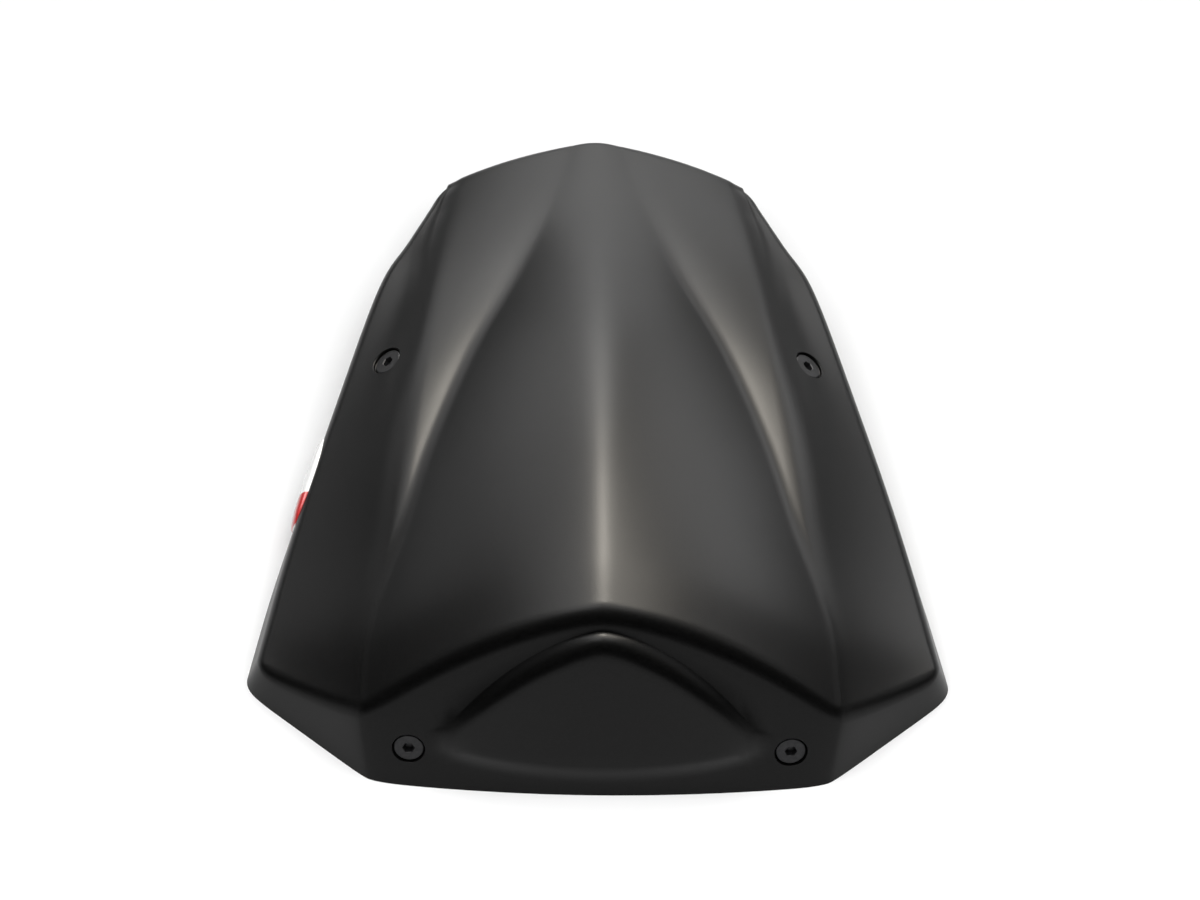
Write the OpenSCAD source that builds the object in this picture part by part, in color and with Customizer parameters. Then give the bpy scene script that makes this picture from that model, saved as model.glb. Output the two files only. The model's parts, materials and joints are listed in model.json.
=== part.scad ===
// Seat cowl for the passenger place of a motorbike: a moulded shell that is
// screwed to a bent steel mounting plate with a latch striker and buffers.

/* [Shell] */
// Width over the two outer front corners of the rim
rim_width = 279; // [240:1:320]
// Length of the rim from the front face to the tail
rim_length = 312; // [280:1:350]
// Height of the ridge above the rim
peak_height = 84.5; // [80:0.5:100]
// Thickness of the moulded wall
wall = 3; // [2:0.1:3.5]
// How far the boss on the front face stands proud
boss_rise = 6.2; // [4:0.1:8]
// Half width of the boss on the front face
boss_half = 61; // [50:1:64]
// Set-back of the rounding along the front edge
front_round = 6; // [4:0.5:8]
// Set-back of the rounding along the sides
side_round = 3.6; // [2.5:0.1:4.5]
// Set-back of the rounding along the tail
tail_round = 4; // [3:0.5:5]

/* [Screws] */
// Thread diameter of the cowl screws
screw_d = 6; // [5:0.5:6]
// Length of the cowl screws, head included
screw_len = 20; // [18:1:24]
// Diameter of the countersunk heads
head_d = 11.6; // [10.5:0.1:12]
// Diameter of the countersinks in the shell
sink_d = 13.1; // [12.5:0.1:14]
// Hexagon socket across flats
socket_af = 4; // [3:0.5:4]
// Depth of the hexagon socket
socket_depth = 2.4; // [1.5:0.1:2.8]
// Clearance hole in the shell, the washers and the plate
hole_d = 6.6; // [6.2:0.1:7]
// Diameter of the screw bosses inside the shell
pillar_d = 18; // [16:0.5:20]
// Depth of the screw bosses below the outer face
pillar_depth = 7; // [6:0.5:8]
// Gap between a screw head and its countersink
head_gap = 0.05; // [0.02:0.01:0.1]
// Gap between a screw thread and its nut
thread_gap = 0.05; // [0.02:0.01:0.1]

/* [Washers and nuts] */
// Outer diameter of the rubber washers
washer_d = 16; // [14:0.5:18]
// Thickness of the rubber washers
washer_h = 1.5; // [1:0.1:2.5]
// Nut size across flats
nut_af = 10; // [9:0.5:11]
// Nut height with its flange
nut_h = 6; // [5:0.5:7]
// Flange diameter of the nuts
flange_d = 14; // [12.5:0.1:15]
// Flange thickness of the nuts
flange_h = 1.2; // [1:0.1:1.5]

/* [Mounting plate] */
// Sheet thickness of the plate
sheet = 2.5; // [2:0.1:3]
// Height of the underside of the plate above the rim
plate_z = 27; // [26:0.5:30]
// Half width of the plate at its front end
plate_half_front = 62; // [55:1:66]
// Half width of the plate at its tail end
plate_half_rear = 36; // [30:1:40]
// Tab size round the screws
tab_d = 22; // [20:0.5:24]
// Width of the tongue at the tail end
tongue_w = 36; // [30:1:44]
// Height of the underside of the tongue above the rim
tongue_z = 12; // [8:1:16]
// Length of the tongue beyond the sheet
tongue_reach = 52; // [44:1:56]
// Clearance from the tip of the tongue to the tail
tongue_gap = 24; // [20:1:30]

/* [Striker and buffers] */
// Diameter of the striker rod
rod_d = 8; // [7:0.5:9]
// Width of the striker between the middles of its legs
striker_span = 34; // [30:1:40]
// Bend radius of the striker rod at its middle line
striker_bend = 9; // [8:0.5:11]
// Depth of the rod's middle line below the striker plate
striker_drop = 15; // [13:0.5:17]
// Thickness of the striker plate
striker_sheet = 2.5; // [2:0.1:3]
// Distance of the striker bolts from the middle
striker_bolt_x = 30; // [28:1:33]
// Buffer diameter
buffer_d = 18; // [14:0.5:20]
// Gap between the buffers' feet and the rim plane
buffer_gap = 2; // [1:0.5:4]
// Bore of the buffers
buffer_bore = 7; // [6:0.5:8]

/* [Hidden] */
$fn = 48;

half_w = rim_width / 2;
size = [half_w, rim_length, peak_height];

// Guide lines of the loft as shares of the shell's size, from the front edge to
// the tail edge: the ridge, the valley beside it, the shoulder and the side edge.
function sized(line) = [for (p = line) [p.x * size.x, p.y * size.y, p.z * size.z]];
ridge = sized([[0, 0.079, 0.970], [0, 0.176, 1], [0, 0.304, 0.994], [0, 0.433, 0.953],
    [0, 0.571, 0.873], [0, 0.712, 0.749], [0, 0.846, 0.607], [0, 0.992, 0.476]]);
valley = sized([[0.674, 0.048, 0.370], [0.652, 0.151, 0.471], [0.570, 0.282, 0.568],
    [0.480, 0.429, 0.630], [0.369, 0.574, 0.657], [0.240, 0.708, 0.645],
    [0.143, 0.843, 0.580], [0.072, 0.983, 0.470]]);
shoulder = sized([[0.687, 0.0535, 0.361], [0.664, 0.1535, 0.460], [0.601, 0.282, 0.560],
    [0.570, 0.423, 0.615], [0.540, 0.564, 0.625], [0.500, 0.718, 0.568],
    [0.472, 0.833, 0.483], [0.427, 0.941, 0.384]]);
side_edge = sized([[0.966, 0.158, 0.183], [0.942, 0.212, 0.201], [0.896, 0.311, 0.237],
    [0.832, 0.429, 0.296], [0.747, 0.567, 0.367], [0.633, 0.744, 0.438],
    [0.550, 0.824, 0.426], [0.439, 0.939, 0.379]]);

low_corner = [0.642 * size.x, 0.018 * size.y];
outer_corner = [half_w + 1, 0.163 * size.y];
side_flare = 5;
tail_flare = 4;
ridge_slope = 0.2;
ridge_soft = 6;
valley_soft = 4;
shoulder_soft = 7;
bend_t = 0.12;
bend_s = -0.12;
shoulder_step = 0.08;
apex_soft = 12;
corner_soft = 6;
edge_bend = 1;
rim_bend = 0.78;
tail_bow = 0.8;

function mix(a, b, t) = a + (b - a) * t;
function ease(t) = let (c = min(1, max(0, t))) c * c * (3 - 2 * c);
function unit(a) = a / norm(a);
function flat(a) = [a.x, a.y, 0];

// Smooth curve through evenly spaced guide points.
function spline(p, t) = let (n = len(p) - 1, s = min(max(t, 0) * n, n - 0.0001), i = floor(s), f = s - i,
    b = p[i], c = p[i + 1], a = i > 0 ? p[i - 1] : 2 * b - c, d = i < n - 1 ? p[i + 2] : 2 * c - b)
    0.5 * (2 * b + (c - a) * f + (2 * a - 5 * b + 4 * c - d) * f * f + (3 * b - a - 3 * c + d) * f * f * f);

// Drop from the ridge at distance x: a rounded ridge, then a steepening flank.
function flank_slope(drop, reach) = min(ridge_slope, 0.45 * drop / reach);
function flank_round(x) = sqrt(x * x + ridge_soft * ridge_soft) - ridge_soft;
function flank_curve(drop, reach) = (drop - flank_slope(drop, reach) * flank_round(reach)) / (reach * reach);
function flank(drop, reach, x) = flank_slope(drop, reach) * flank_round(x)
    + flank_curve(drop, reach) * x * x;
function flank_end(drop, reach) = flank_slope(drop, reach) * reach / (flank_round(reach) + ridge_soft)
    + 2 * flank_curve(drop, reach) * reach;

// Rounds a change of slope of bend at distance d from the crease.
function soften(bend, d, w) = abs(d) < w ? bend * (w - abs(d)) * (w - abs(d)) / (4 * w) : 0;
hollow_start = 6.75;
function hollow(s) = hollow_start * s * (1 - s) * (1 - s);

// Outer face of the top: part 0 runs from the ridge to the valley, part 1 to
// the shoulder and part 2 to the side edge, s being the share of that part.
function top_right(part, s, v) = let (r = spline(ridge, v), a = spline(valley, v), b = spline(shoulder, v),
    e = spline(side_edge, v), drop = r.z - a.z, g = part == 0 ? flank(drop, a.x, s * a.x) / drop : 1,
    run_t = b.x - a.x, run_s = e.x - b.x, step = shoulder_step * ease((v - 0.42) / 0.35),
    base = part == 0 ? [a.x * s, mix(r.y, a.y, g), mix(r.z, a.z, g)]
        : part == 1 ? mix(a, b, s) + [0, 0, run_t * bend_t * s * (1 - s)]
        : mix(b, e, s) + [0, 0, run_s * (bend_s * s * (1 - s) - step * hollow(s))],
    slope_c = -flank_end(drop, a.x), slope_t = (b.z - a.z) / run_t,
    slope_s = (e.z - b.z) / run_s + bend_s - step * hollow_start)
    base + [0, 0, soften(slope_t + bend_t - slope_c, base.x - a.x, valley_soft)
        + soften(slope_s - slope_t + bend_t, base.x - b.x, min(shoulder_soft, 0.9 * run_s))];

// Columns of the loft, counted from the ridge outwards.
columns_c = 10;
columns_t = 3;
columns_s = 5;
columns = columns_c + columns_t + columns_s;
rows = 24;
function bunched(t, k) = mix(t, (1 - cos(180 * t)) / 2, k);
function part_of(k) = k <= columns_c ? 0 : k <= columns_c + columns_t ? 1 : 2;
function share_of(k) = k <= columns_c ? bunched(k / columns_c, 0.6)
    : k <= columns_c + columns_t ? (k - columns_c) / columns_t
    : bunched((k - columns_c - columns_t) / columns_s, 0.5);
function mirrored(p, k) = k < 0 ? [-p.x, p.y, p.z] : p;
function top_at(k, v, inset) = let (c = abs(k), s = share_of(c),
    b = spline(shoulder, v), e = spline(side_edge, v), keep = part_of(c) == 2 ? 1 - min(inset / norm(e - b), 0.6) : 1)
    mirrored(top_right(part_of(c), s * keep, v), k);

function corner_share(c) = max(0, min(1, (c - columns_c) / (columns - columns_c)));
function front_setback(c) = mix(front_round, side_round + 1, corner_share(c));
function v_front(c) = front_setback(c) * 0.01 / norm(top_at(c, 0.01, 0) - top_at(c, 0, 0));
function v_tail(c) = tail_round * 0.01 / norm(top_at(c, 1, 0) - top_at(c, 0.99, 0));
v_first = [for (c = [0:columns]) v_front(c)];
v_last = [for (c = [0:columns]) v_tail(c)];
function v_of(k, t) = mix(v_first[abs(k)], 1 - v_last[abs(k)], t);
function row_share(j) = bunched(j / rows, 0.35);

grid = [for (j = [0:rows]) [for (k = [-columns:columns]) top_at(k, v_of(k, row_share(j)), side_round)]];

// Stations round the edge: front, right side, tail and left side, as [k, j].
wide = 2 * columns;
stations = concat([for (k = [0:wide - 1]) [k, 0]], [for (j = [0:rows - 1]) [wide, j]],
    [for (k = [wide:-1:1]) [k, rows]], [for (j = [rows:-1:1]) [0, j]]);
loop = len(stations);
function on_front(i) = i <= wide;
function on_tail(i) = i >= wide + rows && i <= 2 * wide + rows;
function inward(s) = [s[0] == 0 ? 1 : s[0] == wide ? wide - 1 : s[0], s[1] == 0 ? 1 : s[1] == rows ? rows - 1 : s[1]];

function edge_point(i) = let (s = stations[i], k = s[0] - columns, c = abs(k))
    on_front(i) ? front_point(top_at(k, 0, 0))
    : on_tail(i) ? tail_point(top_at(k, 1, 0))
    : mirrored(spline(side_edge, v_of(k, row_share(s[1]))), k);
function front_point(p) = p + [0, soften(edge_bend, abs(p.x) - valley[0].x, corner_soft), 0];
function tail_point(p) = let (a = ridge[len(ridge) - 1], e = side_edge[len(side_edge) - 1],
    g = mix(apex_round(p.x) / apex_round(e.x), p.x * p.x / (e.x * e.x), tail_bow))
    [p.x, mix(a.y, e.y, g), p.z];
function apex_round(x) = sqrt(x * x + apex_soft * apex_soft) - apex_soft;
function rim_point(i, raw) = let (p = raw[i], x = abs(p.x), a = valley[0], e = side_edge[0],
    q = unit(flat(raw[(i + 1) % loop] - raw[(i + loop - 1) % loop])), s = (x - a.x) / (e.x - a.x))
    on_front(i) ? (x <= a.x ? low_point(p.x * low_corner.x / a.x, low_corner.y * x * x / (a.x * a.x))
        : low_point(sign(p.x) * mix(low_corner.x, outer_corner.x, s), mix(low_corner.y, outer_corner.y, s)))
    : flat(p) + (on_tail(i) ? tail_flare : side_flare) * [q.y, -q.x, 0];
function low_point(x, y) = [x, y + soften(rim_bend, abs(x) - low_corner.x, corner_soft), 0];
function relaxed(p) = [for (i = [0:loop - 1]) (p[(i + loop - 1) % loop] + 2 * p[i] + p[(i + 1) % loop]) / 4];
raw_edge = [for (i = [0:loop - 1]) edge_point(i)];
edge = relaxed(raw_edge);
rim = relaxed([for (i = [0:loop - 1]) rim_point(i, raw_edge)]);

// Rounding from the top over the edge to the wall, then the wall to the rim.
round_rows = 4;
wall_rows = 10;
function start(i) = grid[stations[i][1]][stations[i][0]];
function wall_top(i) = let (d = rim[i] - edge[i]) edge[i] + min(norm(edge[i] - start(i)), 0.55 * norm(d)) * unit(d);
function rounding(i, t) = let (w = 0.85, a = (1 - t) * (1 - t), b = 2 * w * t * (1 - t), c = t * t)
    (a * start(i) + b * edge[i] + c * wall_top(i)) / (a + b + c);

// Boss on the front face: its upper ledge is a chevron, its foot runs out softly.
chevron_soft = 4;
function chevron(x) = peak_height * 0.882 - 0.24 * (sqrt(x * x + chevron_soft * chevron_soft) - chevron_soft)
    - 0.0085 * x * x;
foot_run = 8;
function boss_foot(x) = 7 + 0.0019 * x * x;
boss_power = 5;
function boss_side(z) = boss_half - 9 * pow(max(0, 29 - max(z, 0)) / 20, 2);
function boss_full(x, z) = boss_rise * max(0, 1 - pow(abs(x) / boss_side(z), boss_power));
function boss(x, z) = let (full = boss_full(x, z), t = (chevron(x) - z) / ledge(x),
    round_off = t <= 0 ? 0 : t >= 1 ? 1 : sqrt(1 - (1 - t) * (1 - t)))
    full * round_off * mix(0.2, 1, z / chevron(x)) * ease((z - boss_foot(x) + 2) / 10);
function ledge(x) = max(2.5, boss_full(x, chevron(x)));
function front_heights(x, top) = let (c = max(chevron(x), 0.6 * top), w = ledge(x),
    foot = min(boss_foot(x), 0.25 * top), low = c - w, foot_end = max(1, foot - 2),
    foot_top = min(foot + foot_run, mix(low, foot, 0.55)))
    [c, c - 0.076 * w, c - 0.293 * w, c - 0.617 * w, low, mix(low, foot_top, 0.5), foot_top,
        mix(foot_top, foot_end, 0.5), foot_end, 0];
function even_heights(top) = [for (r = [1:wall_rows]) top * (1 - r / wall_rows)];
face_normal = unit([0, -1, 0.3]);
function wall_point(i, z) = let (q = wall_top(i), p = mix(q, rim[i], (q.z - z) / q.z))
    on_front(i) && abs(p.x) < boss_half ? p + boss(p.x, z) * face_normal : p;
function heights(i) = let (q = wall_top(i)) on_front(i) ? front_heights(q.x, q.z) : even_heights(q.z);
tall = [for (i = [0:loop - 1]) heights(i)];
rings = concat([for (r = [0:round_rows]) [for (i = [0:loop - 1]) rounding(i, r / round_rows)]],
    [for (r = [0:wall_rows - 1]) [for (i = [0:loop - 1]) wall_point(i, tall[i][r])]]);
last = len(rings) - 1;

// Inner face: the outer one set back by the wall along its normals.
function back(p, n) = p - wall * unit(n);
function grid_normal(j, k) = cross(grid[j][k + 1] - grid[j][k - 1], grid[j + 1][k] - grid[j - 1][k]);
function ring_normal(r, i) = let (s = inward(stations[i]), before = r == 0 ? grid[s[1]][s[0]] : rings[r - 1][i],
    after = rings[min(last, r + 1)][i])
    cross(rings[r][(i + 1) % loop] - rings[r][(i + loop - 1) % loop], before - after);
function inner_ring(r, i) = let (p = rings[r][i], n = ring_normal(r, i), q = back(p, r == last ? flat(n) : n))
    [q.x, q.y, max(q.z, 0.4 * p.z)];
function station_of(k, j) = j == 0 ? k : k == wide ? wide + j : j == rows ? wide + rows + (wide - k)
    : 2 * wide + rows + (rows - j);
function on_edge(k, j) = j == 0 || j == rows || k == 0 || k == wide;
inner_grid = [for (j = [0:rows]) [for (k = [0:wide]) on_edge(k, j) ? inner_ring(0, station_of(k, j) % loop)
    : back(grid[j][k], grid_normal(j, k))]];
inner_rings = [for (r = [1:last]) [for (i = [0:loop - 1]) inner_ring(r, i)]];

// Faces: both grids, both skirts and the rim that joins them.
grid_size = (rows + 1) * (wide + 1);
sheet_size = grid_size + last * loop;
function at_grid(k, j) = j * (wide + 1) + k;
function at_ring(r, i) = r == 0 ? at_grid(stations[i % loop][0], stations[i % loop][1])
    : grid_size + (r - 1) * loop + i % loop;
function quad(a, b, c, d) = [[a, b, c], [a, c, d]];
outer_faces = concat([for (j = [0:rows - 1], k = [0:wide - 1], f = quad(at_grid(k, j), at_grid(k, j + 1),
        at_grid(k + 1, j + 1), at_grid(k + 1, j))) f],
    [for (r = [0:last - 1], i = [0:loop - 1], f = quad(at_ring(r, i), at_ring(r, i + 1),
        at_ring(r + 1, i + 1), at_ring(r + 1, i))) f]);
inner_faces = [for (f = outer_faces) [f[2] + sheet_size, f[1] + sheet_size, f[0] + sheet_size]];
rim_faces = [for (i = [0:loop - 1], f = quad(at_ring(last, i), at_ring(last, i + 1),
    at_ring(last, i + 1) + sheet_size, at_ring(last, i) + sheet_size)) f];
function joined(lists) = [for (l = lists, p = l) p];
shell_points = concat(joined(grid), joined([for (r = [1:last]) rings[r]]), joined(inner_grid), joined(inner_rings));

// Screw places: on the front face beside the boss, and on the sides.
front_seat_x = 74.6;
front_seat_z = 17;
side_seat_share = 0.40;
side_seat_v = 0.600;
function front_rim_y(x) = low_corner.y * x * x / (low_corner.x * low_corner.x);
front_bow = atan(2 * front_rim_y(front_seat_x) / front_seat_x);
front_normal = unit([sin(front_bow), -cos(front_bow), 0.3]);
front_seat = [front_seat_x, front_rim_y(front_seat_x) + 0.3 * front_seat_z, front_seat_z];
function side_at(ds, dv) = top_right(2, side_seat_share + ds, side_seat_v + dv);
side_seat = side_at(0, 0);
side_normal = unit(cross(side_at(0.05, 0) - side_at(-0.05, 0), side_at(0, 0.02) - side_at(0, -0.02)));
module facing(p, n) translate(p) rotate([0, acos(n.z), atan2(n.y, n.x)]) children();
module front_place() facing(front_seat, front_normal) children();
module side_place() facing(side_seat, side_normal) children();
module both_sides() {
    children();
    mirror([1, 0, 0]) children();
}
module centred() translate([0, -rim_length / 2, 0]) children();

sink_depth = (sink_d - hole_d) / 2;
head_sink = (sink_d - head_d) / 2;
washer_top = -pillar_depth;
tab_top = washer_top - washer_h;
nut_top = tab_top - sheet;

module pillar() translate([0, 0, -pillar_depth]) cylinder(d = pillar_d, h = pillar_depth - wall / 2);
module screw_hole() {
    translate([0, 0, -pillar_depth - 1]) cylinder(d = hole_d, h = pillar_depth + 5);
    translate([0, 0, -sink_depth]) cylinder(d1 = hole_d, d2 = sink_d + 2, h = sink_depth + 1);
}
module cowl_shell() color([0.09, 0.09, 0.095]) centred() difference() {
    union() {
        polyhedron(shell_points, concat(outer_faces, inner_faces, rim_faces), 10);
        both_sides() front_place() pillar();
        both_sides() side_place() pillar();
    }
    both_sides() front_place() screw_hole();
    both_sides() side_place() screw_hole();
}

module screw() color([0.12, 0.12, 0.13]) {
    top = head_gap - head_sink;
    cone = (head_d - screw_d) / 2;
    difference() {
        union() {
            translate([0, 0, top - cone]) cylinder(d1 = screw_d, d2 = head_d, h = cone);
            translate([0, 0, top - screw_len]) cylinder(d = screw_d, h = screw_len - cone);
        }
        translate([0, 0, top - socket_depth]) cylinder(d = socket_af / cos(30), h = socket_depth + 1, $fn = 6);
    }
}
module washer() color([0.15, 0.15, 0.15]) translate([0, 0, tab_top]) difference() {
    cylinder(d = washer_d, h = washer_h);
    translate([0, 0, -1]) cylinder(d = hole_d, h = washer_h + 2);
}
module nut() color([0.75, 0.76, 0.78]) translate([0, 0, nut_top - nut_h]) difference() {
    union() {
        cylinder(d = nut_af / cos(30), h = nut_h - flange_h, $fn = 6);
        translate([0, 0, nut_h - flange_h]) cylinder(d = flange_d, h = flange_h);
    }
    translate([0, 0, -1]) cylinder(d = screw_d + 2 * thread_gap, h = nut_h + 2);
}
module front_screw_right() centred() front_place() screw();
module front_screw_left() mirror([1, 0, 0]) front_screw_right();
module side_screw_right() centred() side_place() screw();
module side_screw_left() mirror([1, 0, 0]) side_screw_right();
module front_washer_right() centred() front_place() washer();
module front_washer_left() mirror([1, 0, 0]) front_washer_right();
module side_washer_right() centred() side_place() washer();
module side_washer_left() mirror([1, 0, 0]) side_washer_right();
module front_nut_right() centred() front_place() nut();
module front_nut_left() mirror([1, 0, 0]) front_nut_right();
module side_nut_right() centred() side_place() nut();
module side_nut_left() mirror([1, 0, 0]) side_nut_right();

// Mounting plate: a flat sheet with brackets welded to it. The front ones hang
// under it, the side ones stand on it and the tongue leads down at the tail.
plate_neck = 62;
plate_rear = rim_length - tongue_gap - tongue_reach;
striker_y = 100;
buffer_inset = 22;
buffer_front = [42, plate_neck];
buffer_rear = [28, plate_rear - buffer_inset];
light_hole_d = 28;
light_holes = [plate_neck - 2, plate_rear - 90, plate_rear - 54];
ear_w = 18;
weld_lap = 16;
bend_reach = 17;
tab_mid = pillar_depth + washer_h + sheet / 2;
function turn_of(n) = atan2(n.y, n.x);
function down_of(n) = [n.z * cos(turn_of(n)), n.z * sin(turn_of(n)), -sin(acos(n.z))];
front_tab = front_seat - tab_mid * front_normal;
front_up = (plate_z - sheet / 4 - front_tab.z) / -down_of(front_normal).z;
front_bend = front_tab - front_up * down_of(front_normal);
side_bend = side_seat - tab_mid * side_normal - bend_reach * down_of(side_normal);
plate_half = [[front_bend.x - ear_w / 2, front_bend.y], [front_bend.x + ear_w / 2, front_bend.y],
    [front_bend.x + ear_w / 2, front_bend.y + weld_lap], [plate_half_front, plate_neck],
    [plate_half_rear, plate_rear]];
plate_outline = concat([[0, front_bend.y + 4]], plate_half,
    [for (i = [len(plate_half) - 1:-1:0]) [-plate_half[i].x, plate_half[i].y]]);
module mounting_plate() color([0.2, 0.2, 0.21]) centred() translate([0, 0, plate_z]) difference() {
    linear_extrude(sheet) polygon(plate_outline);
    both_sides() {
        translate([striker_bolt_x, striker_y, -1]) cylinder(d = hole_d, h = sheet + 2);
        translate([buffer_front.x, buffer_front.y, -1]) cylinder(d = buffer_bore, h = sheet + 2);
        translate([buffer_rear.x, buffer_rear.y, -1]) cylinder(d = buffer_bore, h = sheet + 2);
    }
    for (y = light_holes) translate([0, y, -1]) cylinder(d = light_hole_d, h = sheet + 2);
}
module tab(reach) translate([0, 0, nut_top]) difference() {
    union() {
        cylinder(d = tab_d, h = sheet);
        translate([-reach, -ear_w / 2, 0]) cube([reach, ear_w, sheet]);
    }
    translate([0, 0, -1]) cylinder(d = hole_d, h = sheet + 2);
}
module front_bracket_right() color([0.2, 0.2, 0.21]) centred() {
    front_place() tab(front_up);
    translate([front_bend.x - ear_w / 2, front_bend.y, plate_z - sheet]) cube([ear_w, weld_lap, sheet]);
}
module front_bracket_left() mirror([1, 0, 0]) front_bracket_right();
module side_bracket_right() color([0.2, 0.2, 0.21]) centred() {
    foot = side_bend.x - plate_half_rear;
    side_place() tab(bend_reach + sheet / 2);
    translate([side_bend.x, side_bend.y, plate_z + sheet]) rotate([0, 0, turn_of(side_normal)]) {
        translate([-sheet / 2, -ear_w / 2, 0]) cube([sheet, ear_w, side_bend.z - plate_z - sheet]);
        translate([-foot, -ear_w / 2, 0]) cube([foot, ear_w, sheet]);
    }
}
module side_bracket_left() mirror([1, 0, 0]) side_bracket_right();
module tongue() color([0.2, 0.2, 0.21]) centred() translate([-tongue_w / 2, plate_rear, 0]) {
    translate([0, -weld_lap, plate_z - sheet]) cube([tongue_w, weld_lap, sheet]);
    translate([0, -sheet, tongue_z]) cube([tongue_w, sheet, plate_z - tongue_z]);
    translate([0, -sheet, tongue_z]) cube([tongue_w, tongue_reach + sheet, sheet]);
}

// Latch striker: a bent rod under a small plate that is bolted to the sheet.
striker_top = plate_z;
striker_low = striker_top - striker_sheet;
striker_plate_l = 26;
striker_margin = 8;
striker_end = striker_bolt_x + striker_margin;
module rounded_plate(w, l, r) {
    square([2 * w - 2 * r, l], center = true);
    square([2 * w, l - 2 * r], center = true);
    for (x = [-1, 1], y = [-1, 1]) translate([x * (w - r), y * (l / 2 - r)]) circle(r = r);
}
module striker_plate() color([0.7, 0.71, 0.73]) centred() translate([0, striker_y, striker_low]) difference() {
    linear_extrude(striker_sheet) rounded_plate(striker_end, striker_plate_l, 6);
    both_sides() translate([striker_bolt_x, 0, -1]) cylinder(d = hole_d, h = striker_sheet + 2);
}
module striker_loop() color([0.7, 0.71, 0.73]) centred() translate([0, striker_y, striker_low]) {
    leg = striker_drop - striker_bend;
    reach = striker_span / 2 - striker_bend;
    both_sides() {
        translate([striker_span / 2, 0, -leg]) cylinder(d = rod_d, h = leg);
        translate([reach, 0, -leg]) rotate([90, 0, 0]) rotate_extrude(angle = -90)
            translate([striker_bend, 0]) circle(d = rod_d);
    }
    translate([-reach, 0, -striker_drop]) rotate([0, 90, 0]) cylinder(d = rod_d, h = 2 * reach);
}
bolt_head_h = 4;
bolt_len = striker_sheet + sheet + nut_h + 3;
module striker_bolt_right() color([0.75, 0.76, 0.78]) centred() translate([striker_bolt_x, striker_y, striker_low]) {
    translate([0, 0, -bolt_head_h]) cylinder(d = nut_af / cos(30), h = bolt_head_h, $fn = 6);
    cylinder(d = screw_d, h = bolt_len);
}
module striker_bolt_left() mirror([1, 0, 0]) striker_bolt_right();
module striker_nut_right() centred() translate([striker_bolt_x, striker_y, plate_z + sheet])
    mirror([0, 0, 1]) translate([0, 0, -nut_top]) nut();
module striker_nut_left() mirror([1, 0, 0]) striker_nut_right();

// Buffers: rubber feet that sit against the plate with a button through it.
module buffer(p) color([0.15, 0.15, 0.15]) centred() translate([p.x, p.y, buffer_gap]) {
    h = plate_z - buffer_gap;
    cylinder(d1 = buffer_d - 3, d2 = buffer_d, h = 3);
    translate([0, 0, 3]) cylinder(d = buffer_d, h = h - 3);
    translate([0, 0, h]) cylinder(d = buffer_bore - 0.4, h = sheet);
    translate([0, 0, h + sheet]) cylinder(d1 = buffer_bore + 3, d2 = buffer_bore - 1, h = 3);
}
module buffer_front_right() buffer(buffer_front);
module buffer_front_left() mirror([1, 0, 0]) buffer_front_right();
module buffer_rear_right() buffer(buffer_rear);
module buffer_rear_left() mirror([1, 0, 0]) buffer_rear_right();

cowl_shell();
mounting_plate();
tongue();
front_bracket_right();
front_bracket_left();
side_bracket_right();
side_bracket_left();
front_screw_right();
front_screw_left();
side_screw_right();
side_screw_left();
front_washer_right();
front_washer_left();
side_washer_right();
side_washer_left();
front_nut_right();
front_nut_left();
side_nut_right();
side_nut_left();
striker_plate();
striker_loop();
striker_bolt_right();
striker_bolt_left();
striker_nut_right();
striker_nut_left();
buffer_front_right();
buffer_front_left();
buffer_rear_right();
buffer_rear_left();
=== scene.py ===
import json
from math import atan, cos, pi, radians, sin

import bmesh
import bpy
import numpy as np
from mathutils import Matrix, Vector

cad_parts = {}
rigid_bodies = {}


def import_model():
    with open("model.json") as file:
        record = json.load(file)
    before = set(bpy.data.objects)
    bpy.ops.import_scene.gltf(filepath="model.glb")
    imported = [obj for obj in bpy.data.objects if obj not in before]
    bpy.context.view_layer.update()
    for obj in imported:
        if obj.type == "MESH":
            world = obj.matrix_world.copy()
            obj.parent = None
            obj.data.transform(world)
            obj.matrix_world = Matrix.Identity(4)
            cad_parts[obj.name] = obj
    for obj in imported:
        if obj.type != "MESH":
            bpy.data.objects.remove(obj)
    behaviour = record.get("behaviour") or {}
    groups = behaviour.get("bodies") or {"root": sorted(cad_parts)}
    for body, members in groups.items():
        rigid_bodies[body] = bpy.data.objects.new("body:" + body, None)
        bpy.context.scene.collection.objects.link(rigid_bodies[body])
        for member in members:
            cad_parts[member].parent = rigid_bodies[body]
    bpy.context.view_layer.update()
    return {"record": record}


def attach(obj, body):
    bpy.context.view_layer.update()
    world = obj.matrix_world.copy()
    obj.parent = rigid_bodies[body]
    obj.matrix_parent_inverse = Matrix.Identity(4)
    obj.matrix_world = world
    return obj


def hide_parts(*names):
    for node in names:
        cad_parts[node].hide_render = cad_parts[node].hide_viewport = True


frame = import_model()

# The shell's values in millimetres, in a frame whose y starts at the front.
RIM_WIDTH = 279.0
RIM_LENGTH = 312.0
PEAK_HEIGHT = 84.5
WALL = 3.0
FRONT_ROUND = 6.0
SIDE_ROUND = 3.6
TAIL_ROUND = 4.0
SIDE_FLARE = 5.0
TAIL_FLARE = 4.0
RIDGE_SLOPE = 0.2
RIDGE_SOFT = 6.0
VALLEY_SOFT = 3.0
SHOULDER_SOFT = 7.0
BEND_T = 0.12
BEND_S = -0.12
SHOULDER_STEP = 0.08
APEX_SOFT = 12.0
CORNER_SOFT = 6.0
EDGE_BEND = 1.0
RIM_BEND = 0.78
TAIL_BOW = 0.8
TAIL_CORNER = 9.0
TAIL_CORNER_CUT = TAIL_CORNER * 0.17
INSET_MAX = 0.6
SET_DOWN_MAX = 0.55
ROUND_WEIGHT = 0.85
HOLLOW_START = 6.75

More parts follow.
